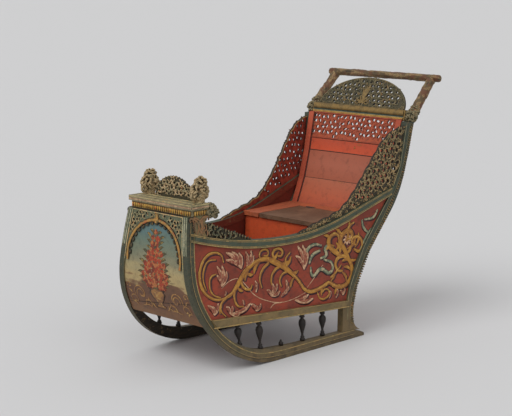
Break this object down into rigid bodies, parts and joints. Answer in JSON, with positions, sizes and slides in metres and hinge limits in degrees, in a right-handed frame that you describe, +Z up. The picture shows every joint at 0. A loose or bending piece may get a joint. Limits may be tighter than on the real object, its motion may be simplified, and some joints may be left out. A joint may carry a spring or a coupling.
{
  "type": "carved push sled",
  "caption": "Carved and painted wooden push sled with upswept runners, a bowed front panel, side panels, a box seat with a hinged lid, a pierced back and a push bar behind.",
  "frame": {"origin": "on the floor under the middle of the sled's bounding box", "axes": "+X forward, the way it travels, +Y to the sled's left, +Z up"},
  "size_m": [1.4362, 0.658, 1.1179],
  "materials": {
    "painted_boards": "worn paint on board",
    "painted_framing": "worn dark green paint",
    "worn_board": "bare worn wood",
    "iron": "dark forged",
    "dark_turning": "near black",
    "handle_wood": "rough, oiled",
    "carving": "worn gilding and green paint"
  },
  "bodies": {
    "sled": {"back_boards": "painted_boards", "back_crest": "carving", "back_rail": "carving", "back_screen": "painted_boards", "bottom_rail_left": "painted_framing", "bottom_rail_right": "painted_framing", "bow_arch": "carving", "bow_board_lower": "painted_boards", "bow_board_upper": "painted_boards", "bow_crest": "carving", "corner_bracket_left": "carving", "corner_bracket_right": "carving", "cornice": "painted_framing", "cross_bearers": "painted_boards", "finial_left": "carving", "finial_right": "carving", "floor_boards": "painted_boards", "handle_arm_left": "handle_wood", "handle_arm_right": "handle_wood", "handle_bar": "handle_wood", "lid_hinges_fixed": "iron", "rail_leaf_left": "carving", "rail_leaf_right": "carving", "rear_post_left": "painted_framing", "rear_post_right": "painted_framing", "runner_left": "painted_framing", "runner_right": "painted_framing", "seat_cleats": "painted_boards", "seat_frame": "painted_boards", "seat_front_board": "painted_boards", "side_panel_left": "painted_boards", "side_panel_right": "painted_boards", "side_scroll_left": "carving", "side_scroll_right": "carving", "spindles_left": "dark_turning", "spindles_right": "dark_turning", "top_rail_left": "painted_framing", "top_rail_right": "painted_framing", "wing_left": "carving", "wing_right": "carving"},
    "lid": {"seat_lid": "worn_board", "lid_hinges_moving": "iron"}
  },
  "joints": [
    {"name": "seat_lid_hinge", "type": "hinge", "parent": "sled", "child": "lid", "pos_m": [-0.2875, 0.025, 0.524], "axis": [0, -1, 0], "range_deg": [0, 110]}
  ]
}
